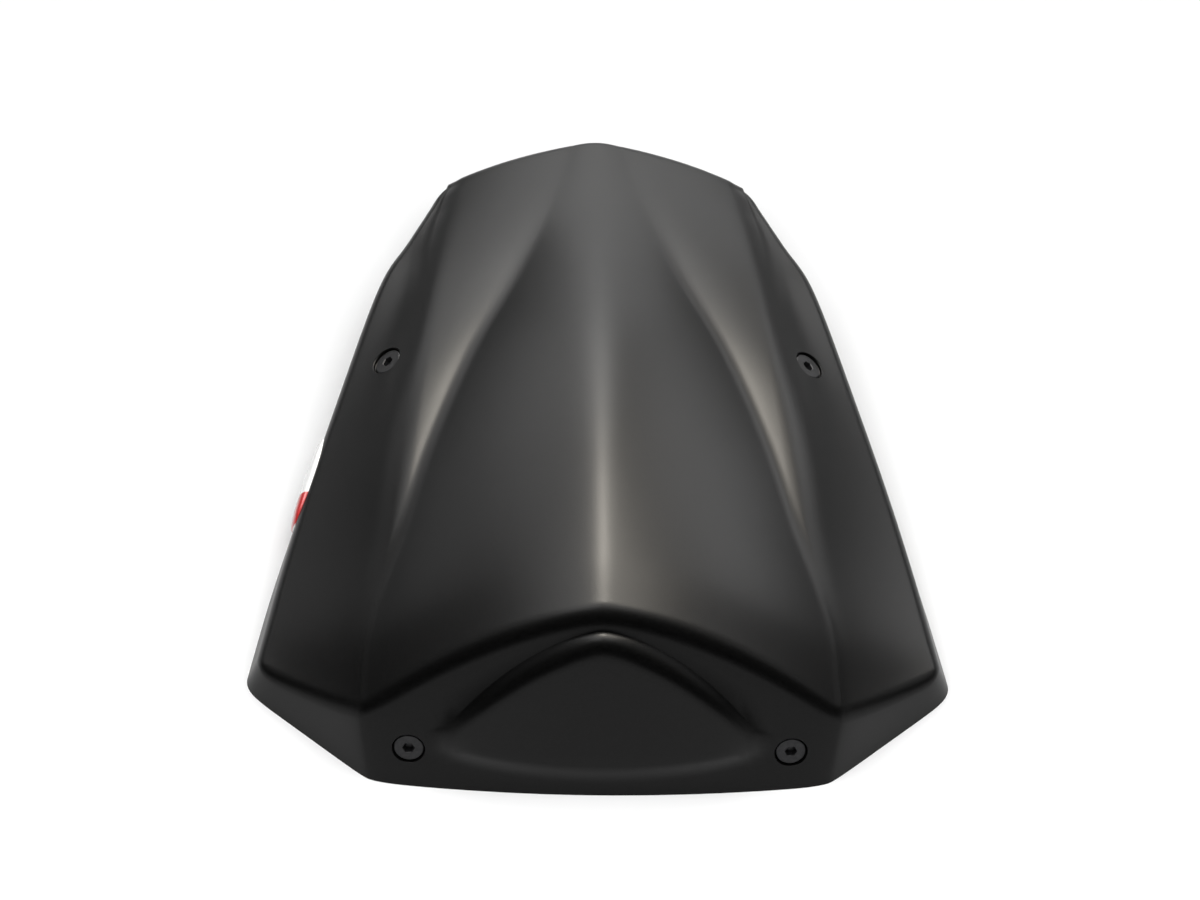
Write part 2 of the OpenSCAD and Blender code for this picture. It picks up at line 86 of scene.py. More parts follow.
# Boss on the front face, fuller than on the solid, and the chevron ledge above it.
BOSS_RISE = 7.2
BOSS_HALF = 65.0
BOSS_POWER = 8.0
BOSS_NARROW = 9.0
BOSS_NARROW_Z = 29.0
BOSS_FOOT = 7.0
BOSS_FOOT_SAG = 0.0019
BOSS_APEX = 24.0
FOOT_RUN = 8.0
CHEVRON_HEIGHT = PEAK_HEIGHT * 0.882
CHEVRON_FALL = 0.24
CHEVRON_SAG = 0.0085
CHEVRON_SOFT = 4.0
LEDGE_MIN = 9.0
LEDGE_SHARE = 1.4
LEDGE_POWER = 2.4
FACE_LEAN = 0.3
FACE_NORMAL = np.array([0, -1, FACE_LEAN]) / np.sqrt(1 + FACE_LEAN ** 2)

# Screws and the holes and pillars for them.
HOLE_D = 6.6
HEAD_D = 11.6
HEAD_GAP = 0.05
SCREW_LEN = 20.0
SOCKET_AF = 4.0
SOCKET_DEPTH = 2.4
SINK_D = 13.1
PILLAR_D = 18.0
PILLAR_DEPTH = 7.0
SINK_LIP = 1.3
THREAD_D = 6.0
THREAD_ROOT_D = 5.1
THREAD_PITCH = 1.0

# Guide lines of the loft as shares of the shell's size, from the front edge to the tail edge.
SIZE = np.array([RIM_WIDTH / 2, RIM_LENGTH, PEAK_HEIGHT])

RIDGE = SIZE * [[0, 0.079, 0.970], [0, 0.176, 1], [0, 0.304, 0.994], [0, 0.433, 0.953],
                [0, 0.571, 0.873], [0, 0.712, 0.749], [0, 0.846, 0.607], [0, 0.992, 0.476]]
VALLEY = SIZE * [[0.674, 0.048, 0.370], [0.652, 0.151, 0.471], [0.570, 0.282, 0.568],
                 [0.480, 0.429, 0.630], [0.369, 0.574, 0.657], [0.240, 0.708, 0.645],
                 [0.143, 0.843, 0.580], [0.072, 0.983, 0.470]]
SHOULDER = SIZE * [[0.687, 0.0535, 0.361], [0.664, 0.1535, 0.460], [0.601, 0.282, 0.560],
                   [0.570, 0.423, 0.615], [0.540, 0.564, 0.625], [0.500, 0.718, 0.568],
                   [0.472, 0.833, 0.483], [0.427, 0.941, 0.384]]
SIDE_EDGE = SIZE * [[0.966, 0.158, 0.183], [0.942, 0.212, 0.201], [0.896, 0.311, 0.237],
                    [0.832, 0.429, 0.296], [0.747, 0.567, 0.367], [0.633, 0.744, 0.438],
                    [0.550, 0.824, 0.426], [0.439, 0.939, 0.379]]
LOW_CORNER = np.array([0.642 * SIZE[0], 0.018 * SIZE[1]])
OUTER_CORNER = np.array([SIZE[0] + 1.0, 0.163 * SIZE[1]])


def mix(a, b, t):
    return a + (b - a) * t


def ease(t):
    c = np.clip(t, 0, 1)
    return c * c * (3 - 2 * c)


def unit(a):
    return a / np.maximum(np.linalg.norm(a, axis=-1, keepdims=True), 1e-12)


def spline(guide, t):
    """Smooth curve through evenly spaced guide points; t is an array of shares."""
    n = len(guide) - 1
    s = np.clip(t, 0, 1) * n
    i = np.minimum(np.floor(s).astype(int), n - 1)
    f = (s - i)[..., None]
    padded = np.vstack([2 * guide[0] - guide[1], guide, 2 * guide[-1] - guide[-2]])
    a, b, c, d = padded[i], padded[i + 1], padded[i + 2], padded[i + 3]
    square, cube = 2 * a - 5 * b + 4 * c - d, 3 * b - a - 3 * c + d
    return 0.5 * (2 * b + (c - a) * f + square * f ** 2 + cube * f ** 3)


def soften(bend, d, w):
    """Rounds a change of slope of bend at distance d from the crease."""
    return np.where(np.abs(d) < w, bend * (w - np.abs(d)) ** 2 / (4 * w), 0)


def flank_round(x):
    """Fall beside the rounded ridge for a slope of one."""
    return np.sqrt(x * x + RIDGE_SOFT ** 2) - RIDGE_SOFT


def top_right(part, s, v):
    """Outer face of the top, right half: part 0 ridge to valley, 1 to the shoulder, 2 to the side edge."""
    r, a, b, e = spline(RIDGE, v), spline(VALLEY, v), spline(SHOULDER, v), spline(SIDE_EDGE, v)
    drop = r[..., 2] - a[..., 2]
    reach = a[..., 0]
    slope = np.minimum(RIDGE_SLOPE, 0.45 * drop / reach)
    curve = (drop - slope * flank_round(reach)) / reach ** 2
    x = s * reach
    g = np.where(part == 0, (slope * flank_round(x) + curve * x * x) / drop, 1)
    step = SHOULDER_STEP * ease((v - 0.42) / 0.35)
    run_t, run_s = b[..., 0] - a[..., 0], e[..., 0] - b[..., 0]
    s3 = s[..., None]
    up = np.array([0.0, 0.0, 1.0])
    hollow = BEND_S * s * (1 - s) - step * HOLLOW_START * s * (1 - s) ** 2
    base_c = np.stack([x, mix(r[..., 1], a[..., 1], g), mix(r[..., 2], a[..., 2], g)], -1)
    base_t = mix(a, b, s3) + up * (BEND_T * run_t * s * (1 - s))[..., None]
    base_s = mix(b, e, s3) + up * (run_s * hollow)[..., None]
    p = np.where((part == 0)[..., None], base_c, np.where((part == 1)[..., None], base_t, base_s))
    slope_c = -(slope * reach / (flank_round(reach) + RIDGE_SOFT) + 2 * curve * reach)
    slope_t = (b[..., 2] - a[..., 2]) / run_t
    slope_s = (e[..., 2] - b[..., 2]) / run_s + BEND_S - step * HOLLOW_START
    lift = soften(slope_t + BEND_T - slope_c, p[..., 0] - a[..., 0], VALLEY_SOFT)
    shoulder_soft = np.minimum(SHOULDER_SOFT, 0.9 * run_s)
    lift = lift + soften(slope_s - slope_t + BEND_T, p[..., 0] - b[..., 0], shoulder_soft)
    return p + up * lift[..., None]


def apex_round(x):
    return np.sqrt(x * x + APEX_SOFT ** 2) - APEX_SOFT


def bunched(t, k):
    """Even shares drawn toward both ends; k is how much."""
    return mix(t, (1 - np.cos(pi * t)) / 2, k)


def chevron(x):
    """Height of the front face's upper ledge at x."""
    fall = CHEVRON_FALL * (np.sqrt(x * x + CHEVRON_SOFT ** 2) - CHEVRON_SOFT)
    return CHEVRON_HEIGHT - fall - CHEVRON_SAG * x * x


def boss_foot(x):
    return BOSS_FOOT + BOSS_FOOT_SAG * x * x


def boss_full(x, z):
    side = BOSS_HALF - BOSS_NARROW * (np.maximum(0, BOSS_NARROW_Z - np.maximum(z, 0)) / 20) ** 2
    return BOSS_RISE * np.maximum(0, 1 - (np.abs(x) / side) ** BOSS_POWER)


def ledge(x):
    return np.maximum(LEDGE_MIN, LEDGE_SHARE * boss_full(x, chevron(x)))


def boss(x, z):
    """How far the boss stands out at x and height z."""
    t = np.clip((chevron(x) - z) / ledge(x), 0, 1)
    power = mix(0.55, 1.0, ease(np.abs(x) / BOSS_APEX))
    rounded = np.maximum(0, 1 - (1 - t) ** LEDGE_POWER) ** power
    return boss_full(x, z) * rounded * mix(0.2, 1, z / chevron(x)) * ease((z - boss_foot(x) + 2) / 10)


class Shell:
    """The shell's surface as a loft over a grid, a rounding and a wall down to the rim."""

    def __init__(self, c=30, t=14, s=20, rows=130, round_rows=10, wall_rows=30):
        self.c, self.t, self.s, self.rows = c, t, s, rows
        self.side = c + t + s
        self.wide = 2 * self.side
        self.round_rows, self.wall_rows = round_rows, wall_rows
        k = np.arange(-self.side, self.side + 1)
        first, last = self.setbacks(k)
        share = bunched(np.arange(rows + 1) / rows, 0.35)
        self.v = mix(first[None, :], 1 - last[None, :], share[:, None])
        self.grid = self.top_at(np.broadcast_to(k, self.v.shape), self.v, SIDE_ROUND)
        # Stations round the edge: front, right side, tail and left side, as column and row.
        stations = ([(i, 0) for i in range(self.wide)] + [(self.wide, j) for j in range(rows)]
                    + [(i, rows) for i in range(self.wide, 0, -1)] + [(0, j) for j in range(rows, 0, -1)])
        self.loop = len(stations)
        self.k_at, self.j_at = np.array(stations).T
        index = np.arange(self.loop)
        self.front = index <= self.wide
        self.tail = (index >= self.wide + rows) & (index <= 2 * self.wide + rows)
        self.rings = self.skirt()
        self.round_tail(self.grid.reshape(-1, 3), rows * (self.wide + 1) + self.wide, rows * (self.wide + 1))
        for ring in self.rings:
            self.round_tail(ring, self.wide + rows, 2 * self.wide + rows)

    def round_tail(self, layer, right, left):
        """Rounds the tail corners of one layer in plan, each about its own corner point."""
        for sign, corner in ((1, layer[right].copy()), (-1, layer[left].copy())):
            off = np.linalg.norm((layer - corner)[:, :2], axis=1)
            share = np.clip(1 - off / TAIL_CORNER, 0, 1) ** 2
            layer -= TAIL_CORNER_CUT * share[:, None] * [0.68 * sign, 0.73, 0]

    def share(self, c):
        """The part that each column lies in, and its share of that part."""
        k1 = bunched(np.minimum(c / self.c, 1), 0.6)
        k2 = (c - self.c) / self.t
        k3 = bunched(np.clip((c - self.c - self.t) / self.s, 0, 1), 0.5)
        part = np.where(c <= self.c, 0, np.where(c <= self.c + self.t, 1, 2))
        return part, np.where(part == 0, k1, np.where(part == 1, k2, k3))

    def top_at(self, k, v, inset):
        """Points of the top at columns k and shares v; inset keeps off the side edge."""
        part, s = self.share(np.abs(k))
        b, e = spline(SHOULDER, v), spline(SIDE_EDGE, v)
        keep = np.where(part == 2, 1 - np.minimum(inset / np.linalg.norm(e - b, axis=-1), INSET_MAX), 1)
        p = top_right(part, s * keep, v)
        p[..., 0] *= np.where(k < 0, -1, 1)
        return p

    def setbacks(self, k):
        """Shares by which each column stops short of the front edge and of the tail edge."""
        c = np.abs(k)
        share = np.clip((c - self.c) / (self.side - self.c), 0, 1)
        zero, one, step = np.zeros(len(k)), np.ones(len(k)), 0.01
        run = np.linalg.norm(self.top_at(k, zero + step, 0) - self.top_at(k, zero, 0), axis=-1)
        end = np.linalg.norm(self.top_at(k, one, 0) - self.top_at(k, one - step, 0), axis=-1)
        return mix(FRONT_ROUND, SIDE_ROUND + 1, share) * step / run, TAIL_ROUND * step / end

    def relaxed(self, p, times):
        """Rounds corners of a closed loop by evening each point with its neighbours."""
        for _ in range(times):
            p = (np.roll(p, 1, 0) + 2 * p + np.roll(p, -1, 0)) / 4
        return p

    def skirt(self):
        """Rings of points from the grid's border over the rounding and down the wall to the rim."""
        k = self.k_at - self.side
        start = self.grid[self.j_at, self.k_at]
        v = self.v[self.j_at, self.k_at]
        front_edge = self.top_at(k, np.zeros(self.loop), 0)
        tail_edge = self.top_at(k, np.ones(self.loop), 0)
        front_edge[:, 1] += soften(EDGE_BEND, np.abs(front_edge[:, 0]) - VALLEY[0, 0], CORNER_SOFT)
        corner = SIDE_EDGE[-1, 0]
        kinked = apex_round(tail_edge[:, 0]) / apex_round(corner)
        g = mix(kinked, (tail_edge[:, 0] / corner) ** 2, TAIL_BOW)
        tail_edge[:, 1] = mix(RIDGE[-1, 1], SIDE_EDGE[-1, 1], g)
        side = spline(SIDE_EDGE, v)
        side[:, 0] *= np.where(k < 0, -1, 1)
        raw = np.where(self.front[:, None], front_edge, np.where(self.tail[:, None], tail_edge, side))
        q = np.roll(raw, -1, 0) - np.roll(raw, 1, 0)
        q[:, 2] = 0
        q = unit(q)
        out = np.stack([q[:, 1], -q[:, 0], np.zeros(self.loop)], -1)
        x, a, e = np.abs(raw[:, 0]), VALLEY[0], SIDE_EDGE[0]
        s = (x - a[0]) / (e[0] - a[0])
        inner = np.stack([raw[:, 0] * LOW_CORNER[0] / a[0], LOW_CORNER[1] * x * x / a[0] ** 2, 0 * x], -1)
        outer = np.stack([np.sign(raw[:, 0]) * mix(LOW_CORNER[0], OUTER_CORNER[0], s),
                          mix(LOW_CORNER[1], OUTER_CORNER[1], s), 0 * x], -1)
        on_front = np.where((x <= a[0])[:, None], inner, outer)
        on_front[:, 1] += soften(RIM_BEND, np.abs(on_front[:, 0]) - LOW_CORNER[0], CORNER_SOFT)
        flat = raw * [1, 1, 0]
        away = flat + np.where(self.tail, TAIL_FLARE, SIDE_FLARE)[:, None] * out
        rim = np.where(self.front[:, None], on_front, away)
        # As much rounding as one pass gives on the solid's grid of 18 columns a side.
        smooth = int(round((self.side / 18) ** 2))
        edge, rim = self.relaxed(raw, smooth), self.relaxed(rim, smooth)
        d = rim - edge
        length = np.linalg.norm(d, axis=1)
        set_down = np.minimum(np.linalg.norm(edge - start, axis=1), SET_DOWN_MAX * length)
        top = edge + set_down[:, None] * unit(d)
        rings = []
        for r in range(self.round_rows + 1):
            t = r / self.round_rows
            w = [(1 - t) ** 2, 2 * ROUND_WEIGHT * t * (1 - t), t * t]
            rings.append((w[0] * start + w[1] * edge + w[2] * top) / sum(w))
        for z in self.heights(top):
            p = mix(top, rim, ((top[:, 2] - z) / top[:, 2])[:, None])
            bossed = self.front & (np.abs(p[:, 0]) < BOSS_HALF)
            rise = np.where(bossed, boss(p[:, 0], z), 0)
            rings.append(p + rise[:, None] * FACE_NORMAL)
        return rings

    def heights(self, top):
        """Heights of the wall's rings: on the front they follow the ledge and the boss's foot."""
        x, high = top[:, 0], top[:, 2]
        c = np.maximum(chevron(x), 0.6 * high)
        w = np.minimum(ledge(x), 0.3 * high)
        foot = np.minimum(boss_foot(x), 0.25 * high)
        low = c - w
        foot_top = np.minimum(foot + FOOT_RUN, mix(low, foot, 0.55))
        foot_end = np.maximum(1, foot - 2)
        n = self.wall_rows
        a, b, d, e = 3, n * 12 // 30, n * 20 // 30, n * 28 // 30
        out = []
        for r in range(1, n + 1):
            if r <= a:
                z = mix(high, c, r / a)
            elif r <= b:
                z = c - w * (1 - np.cos(pi / 2 * (r - a) / (b - a)))
            elif r <= d:
                z = mix(low, foot_top, (r - b) / (d - b))
            elif r <= e:
                z = mix(foot_top, foot_end, (r - d) / (e - d))
            else:
                z = mix(foot_end, 0 * high, (r - e) / (n - e))
            out.append(np.where(self.front, z, high * (1 - r / n)))
        return out

    def mesh(self):
        """Vertices and faces of the closed shell: outer face, inner face one wall back, and rim."""
        grid, rings, wide, rows, loop = self.grid, self.rings, self.wide, self.rows, self.loop
        size_grid = (rows + 1) * (wide + 1)
        last = len(rings) - 1
        ring = np.stack(rings)
        ids = [self.j_at * (wide + 1) + self.k_at]
        ids += [size_grid + r * loop + np.arange(loop) for r in range(last)]
        outer = np.vstack([grid.reshape(-1, 3)] + rings[1:])
        # Normals of the grid, then of the rings, taken from the neighbours on each side.
        normal = np.zeros_like(outer)
        along = np.gradient(grid, axis=1)
        across = np.gradient(grid, axis=0)
        normal[:size_grid] = np.cross(along, across).reshape(-1, 3)
        k_in = np.clip(self.k_at, 1, wide - 1)
        j_in = np.clip(self.j_at, 1, rows - 1)
        for r in range(last + 1):
            before = grid[j_in, k_in] if r == 0 else ring[r - 1]
            after = ring[min(last, r + 1)]
            n = np.cross(np.roll(ring[r], -1, 0) - np.roll(ring[r], 1, 0), before - after)
            if r == last:
                n[:, 2] = 0
            normal[ids[r]] = n
        inner = outer - WALL * unit(normal)
        inner[:, 2] = np.maximum(inner[:, 2], 0.4 * outer[:, 2])
        inner[ids[last], 2] = 0
        jj, kk = np.meshgrid(np.arange(rows), np.arange(wide), indexing="ij")
        a = (jj * (wide + 1) + kk).ravel()
        top = np.stack([a, a + 1, a + wide + 2, a + wide + 1], 1)
        bands = []
        for r in range(last):
            p, q = ids[r], ids[r + 1]
            bands.append(np.stack([p, q, np.roll(q, -1), np.roll(p, -1)], 1))
        skin = np.vstack([top] + bands)
        n = len(outer)
        low = ids[last]
        closing = np.stack([low, low + n, np.roll(low, -1) + n, np.roll(low, -1)], 1)
        faces = np.vstack([skin, skin[:, ::-1] + n, closing])
        return np.vstack([outer, inner]), faces


def placed(points):
    """Millimetres from the front edge to metres in the shared frame."""
    return (np.asarray(points) - [0, RIM_LENGTH / 2, 0]) / 1000


def new_object(name, verts, faces):
    mesh = bpy.data.meshes.new(name)
    mesh.from_pydata([tuple(p) for p in verts], [], [tuple(int(i) for i in f) for f in faces])
    mesh.update()
    obj = bpy.data.objects.new(name, mesh)
    bpy.context.scene.collection.objects.link(obj)
    return obj


# Screw places, as on the solids.
FRONT_X = 74.6
FRONT_Z = 17.0
SIDE_S = 0.40
SIDE_V = 0.600


def front_place():
    y = LOW_CORNER[1] * FRONT_X ** 2 / LOW_CORNER[0] ** 2
    bow = atan(2 * y / FRONT_X)
    point = np.array([FRONT_X, y + FACE_LEAN * FRONT_Z, FRONT_Z])
    return point, unit(np.array([sin(bow), -cos(bow), FACE_LEAN]))


def side_place():
    def at(ds, dv):
        return top_right(np.array([2]), np.array([SIDE_S + ds]), np.array([SIDE_V + dv]))[0]
    across, along = at(0.05, 0) - at(-0.05, 0), at(0, 0.02) - at(0, -0.02)
    return at(0, 0), unit(np.cross(across, along))


def lathe(name, profile, point, normal, turns=64):
    """A closed turned body: profile holds (radius, height) pairs along the outward normal."""
    bm = bmesh.new()
    rings = []
    for radius, height in profile:
        ring = [bm.verts.new((radius * cos(2 * pi * i / turns), radius * sin(2 * pi * i / turns), height))
                for i in range(turns)]
        rings.append(ring)
    for p, q in zip(rings, rings[1:]):
        for i in range(turns):
            bm.faces.new((p[i], p[(i + 1) % turns], q[(i + 1) % turns], q[i]))
    bm.faces.new(rings[0][::-1])
    bm.faces.new(rings[-1])
    bmesh.ops.recalc_face_normals(bm, faces=bm.faces)
    turn = Vector((0, 0, 1)).rotation_difference(Vector(normal)).to_matrix().to_4x4()
    place = Matrix.Translation(Vector(placed(point)))
    bmesh.ops.transform(bm, matrix=place @ turn @ Matrix.Scale(0.001, 4), verts=bm.verts)
    mesh = bpy.data.meshes.new(name)
    bm.to_mesh(mesh)
    bm.free()
    obj = bpy.data.objects.new(name, mesh)
    bpy.context.scene.collection.objects.link(obj)
    return obj


def cut(obj, tool, operation="DIFFERENCE"):
    """Applies one boolean and removes the tool."""
    step = obj.modifiers.new("cut", "BOOLEAN")
    step.operation = operation
    step.solver = "EXACT"
    step.object = tool
    bpy.context.view_layer.objects.active = obj
    bpy.ops.object.modifier_apply(modifier=step.name)
    bpy.data.objects.remove(tool)


def make_screw(name, point, normal):
    """A countersunk screw with a broken edge, a hexagon socket and a grooved thread."""
    top = HEAD_GAP - (SINK_D - HEAD_D) / 2
    root, crest, pitch = THREAD_ROOT_D / 2, THREAD_D / 2, THREAD_PITCH
    neck = top - (HEAD_D - 2 * crest) / 2
    profile = [(root - 0.4, top - SCREW_LEN), (root, top - SCREW_LEN + 0.5)]
    for i in range(int((SCREW_LEN - 5) / pitch)):
        z = top - SCREW_LEN + 0.5 + i * pitch
        profile += [(crest, z + 0.5 * pitch), (root, z + pitch)]
    profile += [(crest, neck), (HEAD_D / 2, top - 0.3), (HEAD_D / 2, top - 0.18), (HEAD_D / 2 - 0.3, top)]
    screw = lathe(name, profile, point, normal)
    r = SOCKET_AF / 2 / cos(pi / 6)
    socket = [(r, top - SOCKET_DEPTH), (r, top - 0.25), (r + 0.3, top + 0.05), (r + 0.3, top + 1)]
    cut(screw, lathe("socket", socket, point, normal, 6))
    for poly in screw.data.polygons:
        poly.use_smooth = True
    screw.data.set_sharp_from_angle(angle=radians(25))
    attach(screw, "root")
    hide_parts(name.replace("_piece", ""))
    dress(screw, MATERIALS["screw_black"])


def make_screws():
    for place, (point, normal) in (("front", front_place()), ("side", side_place())):
        make_screw(place + "_screw_right_piece", point, normal)
        make_screw(place + "_screw_left_piece", mirrored(point), mirrored(normal))


def mirrored(p):
    return np.array([-p[0], p[1], p[2]])


def make_shell():
    verts, faces = SHELL.mesh()
    shell = new_object("shell_skin", placed(verts), faces)
    sink = (SINK_D - HOLE_D) / 2
    pillar = [(PILLAR_D / 2, -PILLAR_DEPTH), (PILLAR_D / 2, -WALL / 2)]
    hole = [(HOLE_D / 2, -PILLAR_DEPTH - 1), (HOLE_D / 2, -sink - SINK_LIP), (SINK_D / 2 - 0.05, -SINK_LIP),
            (SINK_D / 2 - 0.05, -0.2), (SINK_D / 2 + 0.15, 0.05), (SINK_D / 2 + 0.15, 1)]
    places = []
    for point, normal in (front_place(), side_place()):
        places += [(point, normal), (mirrored(point), mirrored(normal))]
    for point, normal in places:
        cut(shell, lathe("pillar", pillar, point, normal), "UNION")
    for point, normal in places:
        cut(shell, lathe("hole", hole, point, normal))
    for poly in shell.data.polygons:
        poly.use_smooth = True
    shell.data.set_sharp_from_angle(angle=radians(38))
    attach(shell, "root")
    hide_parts("cowl_shell")
    return shell


# Badge on the left wall: a plain domed shape with no sign on it.
BADGE_V = 0.452
BADGE_DOWN = 4.5
BADGE_LONG = 21.5
BADGE_HIGH = 8.5
BADGE_DOME = 2.2
BADGE_POWER = 2.6
BADGE_INSIDE = 8


def wall_strip(shell):
    """Points of the left side, one row for each station along it, every half millimetre downwards."""
    steps = np.arange(-9, 18, 0.5)
    rows = []
    for i in np.flatnonzero(shell.k_at == 0):
        j = shell.j_at[i]
        line = np.vstack([shell.grid[j, BADGE_INSIDE:0:-1]] + [[ring[i]] for ring in shell.rings])
        run = np.concatenate([[0], np.cumsum(np.linalg.norm(np.diff(line, axis=0), axis=1))])
        run = run - run[BADGE_INSIDE + shell.round_rows]
        rows.append([np.interp(steps, run, line[:, c]) for c in range(3)] + [shell.v[j, 0] + 0 * steps])
    return np.array(rows).transpose(0, 2, 1), steps


def make_badge():
    """A domed badge that follows the left wall, from a polar net laid on it."""
    strip, steps = wall_strip(SHELL)
    strip = strip[np.argsort(strip[:, 0, 3])]
    edge = strip[:, np.flatnonzero(steps == 0)[0], :3]
    length = np.concatenate([[0], np.cumsum(np.linalg.norm(np.diff(edge, axis=0), axis=1))])
    middle = np.interp(BADGE_V, strip[:, 0, 3], length)

    def at(s, t):
        i = np.interp(middle + s, length, np.arange(len(length)))
        j = np.interp(t, steps, np.arange(len(steps)))
        i0, j0 = np.minimum(i.astype(int), len(length) - 2), np.minimum(j.astype(int), len(steps) - 2)
        u, w = (i - i0)[..., None], (j - j0)[..., None]
        p = strip[..., :3]
        return mix(mix(p[i0, j0], p[i0 + 1, j0], u), mix(p[i0, j0 + 1], p[i0 + 1, j0 + 1], u), w)

    turns, rings = 72, 14
    angle = np.arange(turns) * 2 * pi / turns
    share = np.sin(np.linspace(0, pi / 2, rings + 1))[:, None]
    wide, high = np.abs(np.cos(angle)), np.abs(np.sin(angle))
    squash = (wide ** BADGE_POWER + high ** BADGE_POWER) ** (-1 / BADGE_POWER)
    s = share * BADGE_LONG * squash * np.cos(angle)
    t = BADGE_DOWN + share * BADGE_HIGH * squash * np.sin(angle)
    p = at(s, t)
    # The outward way on the left wall, where x is below zero.
    away = unit(np.cross(at(s + 1, t) - at(s - 1, t), at(s, t + 1) - at(s, t - 1)))
    away *= np.sign(-away[..., :1])
    dome = BADGE_DOME * np.sqrt(1 - share ** 4)[..., None] + 0.02
    face, back = p + dome * away, p - 0.05 * away
    verts = np.vstack([face.reshape(-1, 3), back.reshape(-1, 3)])
    n, faces = (rings + 1) * turns, []
    for r in range(rings):
        for k in range(turns):
            a, b = r * turns + k, r * turns + (k + 1) % turns
            faces += [(a, b, b + turns, a + turns), (a + n, a + turns + n, b + turns + n, b + n)]
    last = rings * turns
    for k in range(turns):
        a, b = last + k, last + (k + 1) % turns
        faces.append((a, b, b + n, a + n))
    badge = new_object("side_badge", placed(verts), faces)
    bm = bmesh.new()
    bm.from_mesh(badge.data)
    bmesh.ops.remove_doubles(bm, verts=bm.verts, dist=0.00001)
    bmesh.ops.recalc_face_normals(bm, faces=bm.faces)
    bm.to_mesh(badge.data)
    bm.free()
    for poly in badge.data.polygons:
        poly.use_smooth = True
    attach(badge, "root")
    dress(badge, MATERIALS["badge_gel"])


# Materials

def material(name):
    mat = bpy.data.materials.new(name)
    mat.use_nodes = True
    nodes, links = mat.node_tree.nodes, mat.node_tree.links
    return mat, nodes, links, nodes["Principled BSDF"]


def grain(nodes, links, scale, strength, distance):
    """Fine bump from object coordinates; returns the bump, noise and coordinate nodes."""
    coord = nodes.new("ShaderNodeTexCoord")
    noise = nodes.new("ShaderNodeTexNoise")
    noise.inputs["Scale"].default_value = scale
    noise.inputs["Detail"].default_value = 2.0
    links.new(coord.outputs["Object"], noise.inputs["Vector"])
    bump = nodes.new("ShaderNodeBump")
    bump.inputs["Strength"].default_value = strength
    bump.inputs["Distance"].default_value = distance
    links.new(noise.outputs["Fac"], bump.inputs["Height"])
    return bump, noise, coord


def ramp(nodes, links, source, low, high, at=(0.3, 0.7)):
    node = nodes.new("ShaderNodeValToRGB")
    node.color_ramp.elements[0].position = at[0]
    node.color_ramp.elements[1].position = at[1]
    node.color_ramp.elements[0].color = (*low, 1)
    node.color_ramp.elements[1].color = (*high, 1)
    links.new(source, node.inputs["Fac"])
    return node


def shell_plastic():
    mat, nodes, links, bsdf = material("shell_plastic")
    bump, noise, coord = grain(nodes, links, 2200, 0.12, 0.0002)
    links.new(bump.outputs["Normal"], bsdf.inputs["Normal"])
    tint = nodes.new("ShaderNodeTexNoise")
    tint.inputs["Scale"].default_value = 900
    links.new(coord.outputs["Object"], tint.inputs["Vector"])
    colour = ramp(nodes, links, tint.outputs["Fac"], (0.0008, 0.0008, 0.0008), (0.0018, 0.0018, 0.0018))
    links.new(colour.outputs["Color"], bsdf.inputs["Base Color"])
    rough = nodes.new("ShaderNodeMapRange")
    rough.inputs["To Min"].default_value = 0.32
    rough.inputs["To Max"].default_value = 0.38
    links.new(tint.outputs["Fac"], rough.inputs["Value"])
    links.new(rough.outputs["Result"], bsdf.inputs["Roughness"])
    bsdf.inputs["IOR"].default_value = 1.25
    return mat


def coated_steel(name, low, high, roughness, scale=700):
    mat, nodes, links, bsdf = material(name)
    bump, noise, coord = grain(nodes, links, scale, 0.15, 0.0002)
    links.new(bump.outputs["Normal"], bsdf.inputs["Normal"])
    colour = ramp(nodes, links, noise.outputs["Fac"], low, high)
    links.new(colour.outputs["Color"], bsdf.inputs["Base Color"])
    bsdf.inputs["Roughness"].default_value = roughness
    bsdf.inputs["Metallic"].default_value = 0.6
    return mat


def zinc_steel():
    mat = coated_steel("zinc_steel", (0.42, 0.42, 0.43), (0.6, 0.6, 0.6), 0.34, 300)
    mat.node_tree.nodes["Principled BSDF"].inputs["Metallic"].default_value = 1.0
    return mat


def rubber():
    mat, nodes, links, bsdf = material("rubber")
    bump, noise, coord = grain(nodes, links, 500, 0.25, 0.0003)
    links.new(bump.outputs["Normal"], bsdf.inputs["Normal"])
    colour = ramp(nodes, links, noise.outputs["Fac"], (0.012, 0.012, 0.012), (0.024, 0.024, 0.023))
    links.new(colour.outputs["Color"], bsdf.inputs["Base Color"])
    bsdf.inputs["Roughness"].default_value = 0.75
    return mat


BADGE_WHITE = (0.8, 0.8, 0.79)
BADGE_RED = (0.45, 0.02, 0.02)


def badge_gel():
    """White under clear gel, with one plain red band across its front half."""
    mat, nodes, links, bsdf = material("badge_gel")
    bump, noise, coord = grain(nodes, links, 300, 0.05, 0.0001)
    links.new(bump.outputs["Normal"], bsdf.inputs["Normal"])
    split = nodes.new("ShaderNodeSeparateXYZ")
    links.new(coord.outputs["Object"], split.inputs["Vector"])
    band = nodes.new("ShaderNodeMapRange")
    band.inputs["From Min"].default_value = -0.0375
    band.inputs["From Max"].default_value = -0.0235
    links.new(split.outputs["Y"], band.inputs["Value"])
    colour = ramp(nodes, links, band.outputs["Result"], BADGE_RED, BADGE_WHITE, (0.96, 0.98))
    for at, tint in ((0.14, BADGE_WHITE), (0.17, BADGE_RED), (0.0, BADGE_WHITE)):
        colour.color_ramp.elements.new(at).color = (*tint, 1)
    links.new(colour.outputs["Color"], bsdf.inputs["Base Color"])
    bsdf.inputs["Roughness"].default_value = 0.3
    bsdf.inputs["Coat Weight"].default_value = 0.6
    return mat


